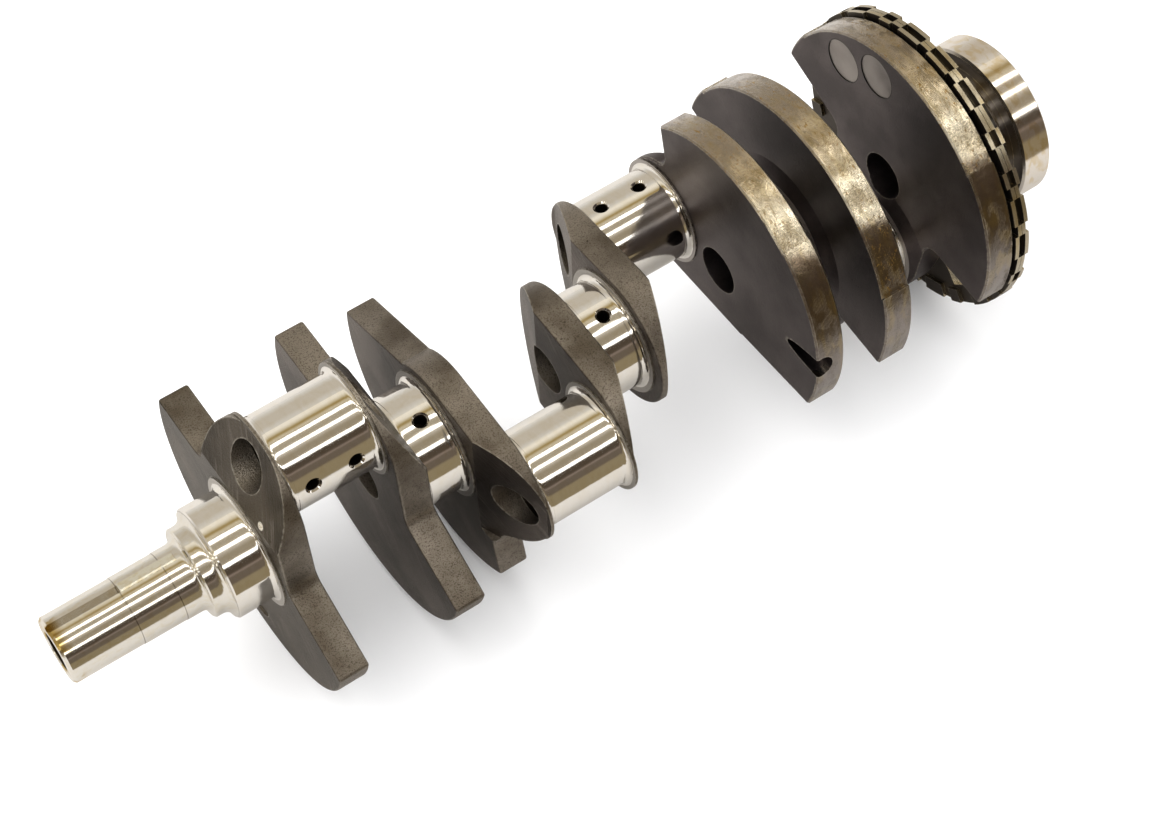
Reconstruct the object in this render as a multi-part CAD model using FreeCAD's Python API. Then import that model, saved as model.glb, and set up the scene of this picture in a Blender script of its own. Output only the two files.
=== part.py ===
import FreeCAD, Part
import math
import os

os.makedirs("parts", exist_ok=True)

# ---------------------------------------------------------------------------
# Forged cross-plane crankshaft, millimetres.
# X runs along the shaft from the snout to the rear flange.  Z is the direction
# of the first throw.  The origin is the centre of the third main journal.
# Every web is drawn with its throw along Z and then turned about the shaft.
# ---------------------------------------------------------------------------

# Overall layout
main_spacing = 111.76
stroke = 101.6
throw_radius = stroke / 2.0
throw_angles = [0.0, 90.0, -90.0, 180.0]

# Journals
main_diameter = 62.2
rod_diameter = 53.34
rod_length = 51.2
web_thickness = 17.2
main_boss_heights = [0.8, 0.8, 0.8, 3.0, 0.8]
rod_boss_heights = [0.8, 0.8, 0.8, 3.0]
cone_spread = 12.0
cone_limit = 2.0
main_boss_margin = 5.5
rod_boss_margin = 4.6
journal_fillet = 2.8
ground_land_step = 0.35
ground_land_width = 1.0
journal_end_chamfer = 1.0
front_main_length = 23.0
rear_main_length = 26.0

# Drillings
main_bore_diameter = 28.0
rod_bore_diameter = 27.0
rod_bore_offset = 9.4
oil_hole_diameter = 6.4
oil_hole_chamfer = 1.4
main_oil_shift = 2.0
main_oil_wall = 4.0
rod_oil_depth = 9.0
rod_oil_spacing = 24.4
main_oil_angles = [194.0, 14.0, 14.0, 14.0, 14.0]
rod_oil_angles = [78.0, 78.0, 82.0, 123.0]

# Webs
hub_radius = 41.0
nose_radius = 37.0
nose_shifts = [2.0, -1.0, 0.0, 0.0]
nose_top_margin = 3.6
bevel_start = 38.0
bevel_slope = 0.40
tail_shift = 3.5
tail_bevel_start = 8.0
tail_bevel_slope = 0.38
root_blend_radius = 10.0
tip_round_radius = 2.0
forged_edge_radius = 1.4
machined_edge_chamfer = 0.9

# Counterweights: radius, turn away from opposite the throw, half angle
end_weight_radius = 87.0
rear_weight_radius = 88.5
middle_weight_radius = 86.5
end_weight_skew = 16.0
end_shoulder_height = 4.0
end_shoulder_slope = 14.0
rear_shoulder_height = 1.0
rear_shoulder_slope = 7.0
middle_flanks = {2: 39.0, 5: 35.0}
middle_flank_leans = {2: 18.0, 5: 2.5}
middle_shoulder_drop = 3.07
middle_shoulder_slope = 11.0
second_weight_shift = 3.0
turned_relief_depth = 1.2
turned_spans = {5: (46.0, 127.5), 6: (122.0, 250.5), 7: (122.0, 226.0)}

# Balance drilling that breaks out of the sixth web, and the shallow recess in the first
notch_diameter = 14.0
notch_angle = 176.0
notch_outer_depth = 1.6
notch_inner_depth = 9.0
notch_inner_radius = 50.0
recess_diameter = 24.0
recess_depth = 1.2
recess_angle = 187.0
recess_radius = 66.0

# Heavy metal slugs
slug_diameter = 25.4
slug_depth = 14.0
slug_recess = 0.4
slug_circle_radius = 69.5
slug_gap = 4.1
slug_mean_angle = -23.25

# Snout
snout_diameter = 37.0
snout_length = 75.5
snout_step = 0.25
damper_land_length = 39.0
oil_pump_land_length = 24.0
snout_root_radius = 4.0
collar_diameter = 50.0
collar_length = 4.0
collar_blend_radius = 5.6
snout_tip_chamfer = 1.4
snout_mouth_chamfer = 1.0
snout_mouth_taper = 2.0
collar_chamfer = 0.8
collar_blend_end = 345.0
snout_mouth_diameter = 23.0
snout_mouth_depth = 7.0
snout_thread_diameter = 16.0
snout_thread_depth = 52.0
drill_point_angle = 59.0

# Key and keyway
key_width = 5.0
key_height = 4.6
key_length = 31.0
keyway_depth = 3.2
keyway_angle = -6.0
keyway_end_gap = 5.0
key_chamfer = 0.3

# Trigger ring behind the last web
ring_seat_diameter = 104.0
ring_seat_length = 12.0
ring_plate_thickness = 2.4
ring_plate_gap = 0.3
ring_front_gap = 0.8
ring_outer_radius = 89.5
ring_root_radius = 84.2
ring_tooth_foot = 3.0
ring_tooth_joint = 0.5
tooth_count = 24
long_tooth_angle = 10.4
short_tooth_angle = 5.8
first_tooth_end = -17.6
tooth_pattern = "011100110010110101001011"
ring_window_count = 8
ring_window_width = 12.0
ring_window_length = 24.0
ring_window_radius = 72.0

# Rear flange
flange_diameter = 95.4
flange_length = 19.0
flange_neck_length = 4.4
flange_neck_diameter = 78.0
flange_chamfer = 1.2
flange_neck_chamfer = 1.0
flange_bolt_circle = 79.0
flange_bolt_count = 6
flange_bolt_diameter = 9.6
flange_bolt_wall = 4.0
pilot_diameter = 44.0
pilot_depth = 9.0

# Clearances
key_side_clearance = 0.02
slug_press_clearance = 0.0
ring_press_clearance = 0.0

# Construction: how far cutters and keepers reach past the solid they act on
cut_past = 1.0
cut_through = 5.0
keeper_past = 20.0
bevel_reach = 70.0
bevel_past = 30.0
bevel_side_room = 4.0
boss_root = 1.0
tolerance = 0.001
corner_probe = 0.6
concave_share = 0.62
convex_share = 0.42

# Derived positions
main_radius = main_diameter / 2.0
rod_radius = rod_diameter / 2.0
main_length = main_spacing - rod_length - 2.0 * web_thickness
axis_x = FreeCAD.Vector(1.0, 0.0, 0.0)
origin = FreeCAD.Vector(0.0, 0.0, 0.0)
rod_centres = [(index - 1.5) * main_spacing for index in range(4)]
main_centres = [(index - 2.0) * main_spacing for index in range(5)]
front_web_face = rod_centres[0] - rod_length / 2.0 - web_thickness
rear_web_face = rod_centres[3] + rod_length / 2.0 + web_thickness
front_main_start = front_web_face - front_main_length
ring_seat_end = rear_web_face + ring_seat_length
rear_main_end = ring_seat_end + rear_main_length
nose_centre = throw_radius + rod_radius + nose_top_margin - nose_radius
middle_shoulder_height = nose_centre - middle_shoulder_drop
ring_inner_radius = ring_seat_diameter / 2.0 + ring_press_clearance
ring_tooth_step = ring_plate_thickness - ring_tooth_joint
front_plate_start = rear_web_face + ring_front_gap + ring_tooth_step
rear_plate_start = front_plate_start + ring_plate_thickness + ring_plate_gap
slug_pitch = 2.0 * math.degrees(math.asin((slug_diameter + slug_gap) / (2.0 * slug_circle_radius)))
slug_angles = [slug_mean_angle - slug_pitch / 2.0, slug_mean_angle + slug_pitch / 2.0]
keyway_floor = snout_diameter / 2.0 - keyway_depth
snout_root = front_main_start - collar_blend_radius - collar_length
snout_tip = snout_root - snout_length
keyway_end = snout_root - keyway_end_gap


def turned(shape, degrees):
    """Return a copy turned about the shaft."""
    copy = shape.copy()
    copy.rotate(origin, axis_x, degrees)
    return copy


def rod(radius, x_start, x_end, y=0.0, z=0.0):
    """Solid cylinder lying along the shaft direction."""
    start = FreeCAD.Vector(x_start, y, z)
    return Part.makeCylinder(radius, x_end - x_start, start, axis_x)


def revolved(points):
    """Solid of revolution about the shaft from (x, radius) pairs."""
    corners = [FreeCAD.Vector(x, 0.0, radius) for x, radius in points]
    corners.append(corners[0])
    face = Part.Face(Part.makePolygon(corners))
    return face.revolve(origin, axis_x, 360.0)


def flat_face(points, x):
    """Face in the plane at x from (across, along) pairs."""
    corners = [FreeCAD.Vector(x, -across, along) for across, along in points]
    corners.append(corners[0])
    return Part.Face(Part.makePolygon(corners))


def polar(radius, degrees):
    """Point given by its radius and its angle from the throw direction."""
    angle = math.radians(degrees)
    return (radius * math.sin(angle), radius * math.cos(angle))


def arc_points(centre_x, centre_r, radius, start, end, steps=10):
    """Points of a quarter-like arc in the (x, radius) plane."""
    points = []
    for step in range(steps + 1):
        angle = math.radians(start + (end - start) * step / steps)
        x = centre_x + radius * math.cos(angle)
        r = centre_r + radius * math.sin(angle)
        points.append((x, r))
    return points


# ---------------------------------------------------------------------------
# Journals
# ---------------------------------------------------------------------------

def journal_solid(radius, x_start, x_end, fillet_start=True, fillet_end=True):
    """Ground journal with rolled fillets that flare out to the bosses."""
    points = [(x_start, 0.0)]
    land = ground_land_width
    land_radius = radius - ground_land_step
    if fillet_start:
        centre_x = x_start + journal_fillet
        points += arc_points(centre_x, land_radius + journal_fillet, journal_fillet, 180.0, 270.0)
        points.append((centre_x + land, land_radius))
        points.append((centre_x + land, radius))
    else:
        points.append((x_start, radius - journal_end_chamfer))
        points.append((x_start + journal_end_chamfer, radius))
    if fillet_end:
        centre_x = x_end - journal_fillet
        points.append((centre_x - land, radius))
        points.append((centre_x - land, land_radius))
        points += arc_points(centre_x, land_radius + journal_fillet, journal_fillet, 270.0, 360.0)
    else:
        points.append((x_end - journal_end_chamfer, radius))
        points.append((x_end, radius - journal_end_chamfer))
    points.append((x_end, 0.0))
    return revolved(points)


def oil_hole(x, radius, degrees, depth):
    """Chamfered oil hole cutter pointing outward at an angle about the shaft."""
    hole_radius = oil_hole_diameter / 2.0
    up = FreeCAD.Vector(0.0, 0.0, 1.0)
    drill = Part.makeCylinder(hole_radius, depth + cut_past, FreeCAD.Vector(x, 0.0, radius - depth), up)
    flare = 2.0 * oil_hole_chamfer
    cone_base = FreeCAD.Vector(x, 0.0, radius - oil_hole_chamfer)
    cone = Part.makeCone(hole_radius, hole_radius + flare, flare, cone_base, up)
    return turned(drill.fuse(cone), degrees)


def main_journal(index):
    """One main journal with its bore and its oil hole."""
    if index == 0:
        x_start = front_main_start
        x_end = front_web_face - main_boss_heights[0]
        body = journal_solid(main_radius, x_start, x_end, fillet_start=False)
        oil_x = main_centres[0] + main_oil_shift
    elif index == 4:
        x_start = ring_seat_end
        x_end = rear_main_end
        body = journal_solid(main_radius, x_start, x_end, fillet_end=False)
        oil_x = (x_start + x_end) / 2.0
    else:
        half = main_length / 2.0 - main_boss_heights[index]
        x_start = main_centres[index] - half
        x_end = main_centres[index] + half
        body = journal_solid(main_radius, x_start, x_end)
        oil_x = main_centres[index] + main_oil_shift
    if index > 0:
        body = body.cut(rod(main_bore_diameter / 2.0, x_start - cut_past, x_end + cut_past))
    depth = main_radius - main_bore_diameter / 2.0 - main_oil_wall
    return body.cut(oil_hole(oil_x, main_radius, main_oil_angles[index], depth))


def rod_journal(index):
    """One rod journal, drawn on the shaft line and then moved out to its throw."""
    half = rod_length / 2.0 - rod_boss_heights[index]
    body = journal_solid(rod_radius, -half, half)
    bore = rod(rod_bore_diameter / 2.0, -half - cut_past, half + cut_past, 0.0, rod_bore_offset)
    body = body.cut(bore)
    for side in (-1.0, 1.0):
        hole = oil_hole(side * rod_oil_spacing / 2.0, rod_radius, rod_oil_angles[index], rod_oil_depth)
        body = body.cut(hole)
    body.translate(FreeCAD.Vector(rod_centres[index], 0.0, throw_radius))
    return turned(body, throw_angles[index])


# ---------------------------------------------------------------------------
# Webs
# ---------------------------------------------------------------------------

def prism(points, x_start, thickness):
    """Straight prism along the shaft from (across, along) pairs."""
    return flat_face(points, x_start).extrude(FreeCAD.Vector(thickness, 0.0, 0.0))


def pear_solid(x_start, hub_centre, nose_shift):
    """Hub round the main journal joined to the nose round the rod journal."""
    x_end = x_start + web_thickness
    hub = rod(hub_radius, x_start, x_end, 0.0, hub_centre)
    nose = rod(nose_radius, x_start, x_end, -nose_shift, nose_centre)
    distance = math.hypot(nose_shift, nose_centre - hub_centre)
    lean = math.asin((hub_radius - nose_radius) / distance)
    tilt = math.atan2(nose_shift, nose_centre - hub_centre)
    corners = []
    for side, radius, across, along in (
        (1.0, hub_radius, 0.0, hub_centre),
        (1.0, nose_radius, nose_shift, nose_centre),
        (-1.0, nose_radius, nose_shift, nose_centre),
        (-1.0, hub_radius, 0.0, hub_centre),
    ):
        angle = side * (math.pi / 2.0 - lean) + tilt
        corners.append((across + radius * math.sin(angle), along + radius * math.cos(angle)))
    bridge = prism(corners, x_start, web_thickness)
    return hub.fuse([nose, bridge]).removeSplitter()


def end_weight_solid(x_start, radius, shoulder_height, shoulder_slope, shift=0.0):
    """Fan on the side away from the throw, with two sloping shoulders."""
    across, along = polar(shift, end_weight_skew)
    disc = rod(radius, x_start, x_start + web_thickness, -across, along)
    reach = radius + keeper_past
    rise = reach * math.tan(math.radians(shoulder_slope))
    tip = shoulder_height + radius * math.tan(math.radians(shoulder_slope)) - rise
    top = tip + rise
    corners = [(-reach, tip), (0.0, top), (reach, tip), (reach, -reach), (-reach, -reach)]
    keep = turned(prism(corners, x_start, web_thickness), end_weight_skew)
    return disc.common(keep)


def middle_weight_solid(x_start, radius, flank, lean):
    """Weight turned towards one side, with a straight flank on the other."""
    disc = rod(radius, x_start, x_start + web_thickness)
    reach = radius + keeper_past
    drift = math.tan(math.radians(lean)) * reach
    rise = math.tan(math.radians(middle_shoulder_slope)) * reach
    corners = [(-flank, 0.0), (-flank + drift, -reach), (reach, -reach)]
    corners += [(reach, middle_shoulder_height + rise), (0.0, middle_shoulder_height)]
    keep = prism(corners, x_start, web_thickness)
    return disc.common(keep)


def flank_trim(x_start, flank):
    """Cutter that takes everything past a weight's straight flank off the nose."""
    far = 2.0 * middle_weight_radius
    corners = [(-flank, -far), (-flank, far), (-far, far), (-far, -far)]
    return prism(corners, x_start - cut_past, web_thickness + 2.0 * cut_past)


def corner_edges(solid, concave):
    """Edges along the shaft that sit in a concave or on a convex corner."""
    found = []
    for edge in solid.Edges:
        if len(edge.Vertexes) != 2:
            continue
        first = edge.Vertexes[0].Point
        second = edge.Vertexes[1].Point
        span = second - first
        if math.hypot(span.y, span.z) > tolerance or abs(span.x) < web_thickness / 2.0:
            continue
        middle = (first + second) * 0.5
        inside = 0
        samples = 24
        for step in range(samples):
            angle = 2.0 * math.pi * step / samples
            offset = FreeCAD.Vector(0.0, math.cos(angle), math.sin(angle))
            if solid.isInside(middle + offset * corner_probe, tolerance, False):
                inside += 1
        if concave and inside > samples * concave_share:
            found.append(edge)
        if not concave and inside < samples * convex_share:
            found.append(edge)
    return found


def bevel_cutter(x_face, outward, start, slope, direction):
    """Wedge that thins a web from one face, starting at a distance from the shaft."""
    half = nose_radius + bevel_side_room
    depth = slope * bevel_reach
    begin = start * direction
    finish = (start + bevel_reach) * direction
    clear = x_face + outward * bevel_past
    points = [
        FreeCAD.Vector(x_face, -half, begin),
        FreeCAD.Vector(x_face - outward * depth, -half, finish),
        FreeCAD.Vector(clear, -half, finish),
        FreeCAD.Vector(clear, -half, begin),
        FreeCAD.Vector(x_face, -half, begin),
    ]
    face = Part.Face(Part.makePolygon(points))
    return face.extrude(FreeCAD.Vector(0.0, 2.0 * half, 0.0))


def turned_relief(x_start, radius, index):
    """Ring segment that turns a weight's rim down over part of its arc."""
    first, last = turned_spans[index]
    wedge = [(0.0, 0.0)]
    steps = 8
    for step in range(steps + 1):
        wedge.append(polar(2.0 * radius, first + (last - first) * step / steps))
    front = x_start - cut_past
    back = x_start + web_thickness + cut_past
    ring = rod(radius + cut_through, front, back)
    ring = ring.cut(rod(radius - turned_relief_depth, front - cut_past, back + cut_past))
    return ring.common(prism(wedge, front, back - front))


def face_edges(solid, x_start):
    """Outline edges that lie in the two flat faces of a web."""
    found = []
    for edge in solid.Edges:
        box = edge.BoundBox
        if box.XLength > tolerance:
            continue
        place = box.XMin - x_start
        if abs(place) < tolerance or abs(place - web_thickness) < tolerance:
            found.append(edge)
    return found


def boss_solid(outline, x_face, outward, radius, along, height):
    """Raised round boss on a web face; the tall ones are cones kept inside the outline."""
    root = x_face - outward * boss_root
    top = x_face + outward * height
    total = height + boss_root
    if height < cone_limit:
        return rod(radius, min(root, top), max(root, top), 0.0, along)
    spread = radius + cone_spread * total / height
    base = FreeCAD.Vector(root, 0.0, along)
    cone = Part.makeCone(spread, radius, total, base, FreeCAD.Vector(outward, 0.0, 0.0))
    keep = outline.copy()
    keep.translate(FreeCAD.Vector(outward * total, 0.0, 0.0))
    return cone.common(keep.fuse(outline))


def balance_notch(x_start):
    """Slanting drill hole that enters the rim and breaks out of the front face."""
    outer_radius = middle_weight_radius + cut_through
    across, along = polar(outer_radius, notch_angle)
    start = FreeCAD.Vector(x_start + notch_outer_depth, -across, along)
    across, along = polar(notch_inner_radius, notch_angle)
    end = FreeCAD.Vector(x_start + notch_inner_depth, -across, along)
    direction = end - start
    length = direction.Length
    drill = Part.makeCylinder(notch_diameter / 2.0, length, start, direction)
    point_length = notch_diameter / 2.0 / math.tan(math.radians(drill_point_angle))
    point = Part.makeCone(notch_diameter / 2.0, 0.0, point_length, end, direction)
    return drill.fuse(point)


def web(index):
    """One web with its weight, bosses and drillings."""
    throw_index = index // 2
    ahead = index % 2 == 0
    if ahead:
        x_start = rod_centres[throw_index] - rod_length / 2.0 - web_thickness
        x_free = x_start
        x_rod = x_start + web_thickness
        outward = -1.0
    else:
        x_start = rod_centres[throw_index] + rod_length / 2.0
        x_free = x_start + web_thickness
        x_rod = x_start
        outward = 1.0
    plain = index in (3, 4)
    body = pear_solid(x_start, -tail_shift if plain else 0.0, nose_shifts[throw_index])
    if index in (0, 1):
        shift = second_weight_shift if index == 1 else 0.0
        weight = end_weight_solid(
            x_start, end_weight_radius, end_shoulder_height, end_shoulder_slope, shift
        )
    elif index in (6, 7):
        weight = end_weight_solid(
            x_start, rear_weight_radius, rear_shoulder_height, rear_shoulder_slope
        )
    elif index in (2, 5):
        flank = middle_flanks[index]
        weight = middle_weight_solid(x_start, middle_weight_radius, flank, middle_flank_leans[index])
        if flank < nose_radius:
            body = body.cut(flank_trim(x_start, flank))
    else:
        weight = None
    if weight is not None:
        body = body.fuse(weight).removeSplitter()
        blends = corner_edges(body, True)
        if blends:
            body = body.makeFillet(root_blend_radius, blends)
        tips = corner_edges(body, False)
        if tips:
            body = body.makeFillet(tip_round_radius, tips)
    if index in turned_spans:
        turned_radius = rear_weight_radius if index > 5 else middle_weight_radius
        body = body.cut(turned_relief(x_start, turned_radius, index))
    rim = face_edges(body, x_start)
    if index < 5:
        body = body.makeFillet(forged_edge_radius, rim)
    else:
        body = body.makeChamfer(machined_edge_chamfer, rim)
    outline = body.copy()
    body = body.cut(bevel_cutter(x_free, outward, bevel_start, bevel_slope, 1.0))
    if plain:
        body = body.cut(bevel_cutter(x_rod, -outward, tail_bevel_start, tail_bevel_slope, -1.0))
    main_index = throw_index if ahead else throw_index + 1
    main_height = main_boss_heights[main_index]
    main_boss_radius = main_radius + main_boss_margin
    main_boss = boss_solid(outline, x_free, outward, main_boss_radius, 0.0, main_height)
    rod_height = rod_boss_heights[throw_index]
    rod_boss_radius = rod_radius + rod_boss_margin
    rod_boss = boss_solid(outline, x_rod, -outward, rod_boss_radius, throw_radius, rod_height)
    body = body.fuse([main_boss, rod_boss]).removeSplitter()
    bore_z = throw_radius + rod_bore_offset
    before = x_start - cut_through
    after = x_start + web_thickness + cut_through
    body = body.cut(rod(rod_bore_diameter / 2.0, before, after, 0.0, bore_z))
    if index > 0:
        body = body.cut(rod(main_bore_diameter / 2.0, before, after))
    if index == 0:
        across, along = polar(recess_radius, recess_angle)
        body = body.cut(rod(recess_diameter / 2.0, before, x_start + recess_depth, -across, along))
    if index == 5:
        body = body.cut(balance_notch(x_start))
    body = turned(body, throw_angles[throw_index])
    if index == 7:
        seat = rod(ring_seat_diameter / 2.0, rear_web_face - boss_root, ring_seat_end)
        seat = seat.cut(rod(main_bore_diameter / 2.0, before, ring_seat_end + cut_through))
        body = body.fuse(seat).removeSplitter()
        for angle in slug_angles:
            body = body.cut(slug_solid(angle, slug_diameter, 0.0))
    return body


# ---------------------------------------------------------------------------
# Separate pieces
# ---------------------------------------------------------------------------

def slug_solid(angle, diameter, recess):
    """Round slug pressed into the front face of the last web."""
    face_x = rod_centres[3] + rod_length / 2.0
    across, along = polar(slug_circle_radius, angle)
    return rod(diameter / 2.0, face_x + recess, face_x + slug_depth, -across, along)


def snout():
    """Snout with keyway, threaded bore, collar and the blend to the first main."""
    radius = snout_diameter / 2.0
    tip = snout_tip
    root = snout_root
    land_one = tip + damper_land_length
    land_two = land_one + oil_pump_land_length
    top = radius + 2.0 * snout_step
    collar_radius = collar_diameter / 2.0
    points = [(tip, 0.0), (tip, radius - snout_tip_chamfer), (tip + snout_tip_chamfer, radius)]
    points += [(land_one, radius), (land_one, radius + snout_step)]
    points += [(land_two, radius + snout_step), (land_two, top)]
    points += arc_points(root - snout_root_radius, top + snout_root_radius, snout_root_radius, 270.0, 360.0)
    points += [(root, collar_radius - collar_chamfer), (root + collar_chamfer, collar_radius)]
    blend_x = front_main_start
    blend_r = collar_radius + collar_blend_radius
    points += arc_points(root + collar_length, blend_r, collar_blend_radius, 270.0, collar_blend_end)
    points += [(blend_x, main_radius - journal_end_chamfer), (blend_x, 0.0)]
    body = revolved(points)
    mouth = snout_mouth_diameter / 2.0
    thread = snout_thread_diameter / 2.0
    point_depth = thread / math.tan(math.radians(drill_point_angle))
    flare = snout_mouth_chamfer
    step_end = tip + snout_mouth_depth
    bore = [(tip - flare, 0.0), (tip - flare, mouth + flare), (tip + flare, mouth - flare)]
    bore += [(step_end, mouth - flare), (step_end + snout_mouth_taper, thread)]
    bore += [(tip + snout_thread_depth, thread), (tip + snout_thread_depth + point_depth, 0.0)]
    body = body.cut(revolved(bore))
    corner = FreeCAD.Vector(tip - cut_past, -key_width / 2.0, keyway_floor)
    slot = Part.makeBox(keyway_end - tip + cut_past, key_width, snout_diameter / 2.0, corner)
    return body.cut(turned(slot, keyway_angle))


def snout_key():
    """Straight key filling the inner half of the keyway."""
    width = key_width - 2.0 * key_side_clearance
    start = FreeCAD.Vector(keyway_end - key_length, -width / 2.0, keyway_floor)
    key = Part.makeBox(key_length, width, key_height, start)
    top = keyway_floor + key_height
    edges = [edge for edge in key.Edges if edge.CenterOfMass.z > top - tolerance]
    return turned(key.makeChamfer(key_chamfer, edges), keyway_angle)


def ring_plate(x_start, outward):
    """Pressed plate whose rim steps outward along the shaft at every tooth."""
    x_end = x_start + ring_plate_thickness
    before = x_start - cut_past
    deep = ring_plate_thickness + 2.0 * cut_past
    step = outward * ring_tooth_step
    high = ring_outer_radius + cut_through
    foot = ring_root_radius - ring_tooth_foot
    pockets = []
    teeth = []
    for tooth in range(tooth_count):
        span = long_tooth_angle if tooth_pattern[tooth] == "1" else short_tooth_angle
        end = first_tooth_end + tooth * 360.0 / tooth_count
        start = end - span
        far = [polar(high, start), polar(high, end)]
        pocket = [polar(ring_root_radius, start)] + far + [polar(ring_root_radius, end)]
        pockets.append(prism(pocket, before, deep))
        outline = [polar(foot, start)] + far + [polar(foot, end)]
        teeth.append(prism(outline, x_start + step, ring_plate_thickness))
    limit = rod(ring_outer_radius, x_start + step, x_end + step)
    crown = teeth[0].multiFuse(teeth[1:]).common(limit)
    body = rod(ring_outer_radius, x_start, x_end).cut(pockets)
    body = body.fuse(crown).removeSplitter()
    body = body.cut(rod(ring_inner_radius, before, before + deep))
    for window in range(ring_window_count):
        angle = 360.0 * window / ring_window_count
        low = ring_window_radius - ring_window_width / 2.0
        base = FreeCAD.Vector(before, -ring_window_length / 2.0, low)
        slot = Part.makeBox(deep, ring_window_length, ring_window_width, base)
        body = body.cut(turned(slot, angle))
    return body


def rear_flange():
    """Neck, flange, blind bolt holes, pilot bore and the bore through the shaft."""
    neck_end = rear_main_end + flange_neck_length
    end = neck_end + flange_length
    radius = flange_diameter / 2.0
    neck = flange_neck_diameter / 2.0
    relief = flange_neck_chamfer
    points = [(rear_main_end, 0.0), (rear_main_end, neck - relief)]
    points += [(rear_main_end + relief, neck), (neck_end, neck)]
    points += [(neck_end, radius - flange_chamfer), (neck_end + flange_chamfer, radius)]
    points += [(end - flange_chamfer, radius), (end, radius - flange_chamfer), (end, 0.0)]
    body = revolved(points)
    past = end + cut_past
    body = body.cut(rod(main_bore_diameter / 2.0, rear_main_end - cut_past, past))
    body = body.cut(rod(pilot_diameter / 2.0, end - pilot_depth, past))
    for bolt in range(flange_bolt_count):
        angle = 360.0 * bolt / flange_bolt_count
        across, along = polar(flange_bolt_circle / 2.0, angle)
        hole = rod(flange_bolt_diameter / 2.0, neck_end + flange_bolt_wall, past, -across, along)
        body = body.cut(hole)
    return body


def export(name, shape):
    """Write one named piece."""
    shape.exportStep("parts/" + name + ".step")
    print(name, "solids", len(shape.Solids), "volume", round(shape.Volume, 1), "valid", shape.isValid())


export("snout", snout())
export("snout_key", snout_key())
for number in range(5):
    export("main_journal_" + str(number + 1), main_journal(number))
for number in range(4):
    export("rod_journal_" + str(number + 1), rod_journal(number))
for number in range(8):
    export("web_" + str(number + 1), web(number))
export("reluctor_front_plate", ring_plate(front_plate_start, -1.0))
export("reluctor_rear_plate", ring_plate(rear_plate_start, 1.0))
for number in range(2):
    slug = slug_solid(slug_angles[number], slug_diameter - 2.0 * slug_press_clearance, slug_recess)
    export("heavy_metal_slug_" + str(number + 1), slug)
export("rear_flange", rear_flange())
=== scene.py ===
# %% [markdown]
# A forged crankshaft, finished in Blender.
# The shape is the machined model itself, loaded piece by piece. What is left to do here is what
# makes steel look like steel: how each surface was made, what has happened to it since, and what
# it has around it to reflect.

# %% Load the machined model
import math

import bmesh
import bpy
from mathutils import Matrix, Vector


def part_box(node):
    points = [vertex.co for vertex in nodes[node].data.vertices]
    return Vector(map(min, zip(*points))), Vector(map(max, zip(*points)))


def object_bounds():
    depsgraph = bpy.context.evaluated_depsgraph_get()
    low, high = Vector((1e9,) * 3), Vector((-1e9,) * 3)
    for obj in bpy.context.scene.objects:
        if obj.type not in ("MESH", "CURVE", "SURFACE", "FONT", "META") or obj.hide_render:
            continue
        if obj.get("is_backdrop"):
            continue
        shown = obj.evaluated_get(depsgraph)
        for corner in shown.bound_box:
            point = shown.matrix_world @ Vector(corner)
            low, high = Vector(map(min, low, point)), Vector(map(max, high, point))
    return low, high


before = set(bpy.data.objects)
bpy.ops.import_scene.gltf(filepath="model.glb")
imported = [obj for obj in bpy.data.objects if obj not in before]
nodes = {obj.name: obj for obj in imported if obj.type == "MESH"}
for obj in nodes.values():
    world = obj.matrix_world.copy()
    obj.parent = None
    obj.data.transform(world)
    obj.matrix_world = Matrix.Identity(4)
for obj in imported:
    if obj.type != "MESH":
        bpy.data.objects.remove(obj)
cad_low, cad_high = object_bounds()
MM = 1000.0  # millimetres in a metre
DEGREES = 180.0 / math.pi  # degrees in a radian
print("pieces", len(nodes), "length", round(cad_high.x - cad_low.x, 4))

# %% [markdown]
# Every finish on a crankshaft follows the shaft: grinding lines run round it, turning marks are
# rings on the faces, and oil runs down from the top. So most patterns need two numbers at each
# point, the distance from the shaft line and the angle round it. Both come from Object
# coordinates, because every piece sits at the origin with its place in its mesh.

# %% Small helpers for building shader nodes


def add_node(tree, kind, settings=None, **inputs):
    """Add a node, set its properties, and fill or link its inputs by name."""
    node = tree.nodes.new(kind)
    for name, value in (settings or {}).items():
        setattr(node, name, value)
    for name, value in inputs.items():
        socket = find_socket(node, name)
        if isinstance(value, bpy.types.NodeSocket):
            tree.links.new(value, socket)
        else:
            socket.default_value = value
    return node


def find_socket(node, name):
    """Find an input by its name with underscores for spaces, or by its number as in i0."""
    if name[0] == "i" and name[1:].isdigit():
        return node.inputs[int(name[1:])]
    return node.inputs[name.replace("_", " ")]


def maths(tree, operation, first, second=0.0, clamp=False):
    """One Math node, returning its output."""
    settings = {"operation": operation, "use_clamp": clamp}
    return add_node(tree, "ShaderNodeMath", settings, i0=first, i1=second).outputs[0]


def fade(tree, value, start, end):
    """Smooth step from 0 at start to 1 at end."""
    settings = {"interpolation_type": "SMOOTHSTEP"}
    node = add_node(tree, "ShaderNodeMapRange", settings, Value=value, From_Min=start, From_Max=end)
    return node.outputs["Result"]


def mix_colour(tree, factor, first, second):
    """Blend two colours by a mask."""
    node = add_node(tree, "ShaderNodeMix", {"data_type": "RGBA"})
    for socket, value in ((node.inputs[0], factor), (node.inputs[6], first), (node.inputs[7], second)):
        if isinstance(value, bpy.types.NodeSocket):
            tree.links.new(value, socket)
        else:
            socket.default_value = value
    return node.outputs[2]


def colour(red, green, blue):
    """A linear colour with full alpha."""
    return (red, green, blue, 1.0)


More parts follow.
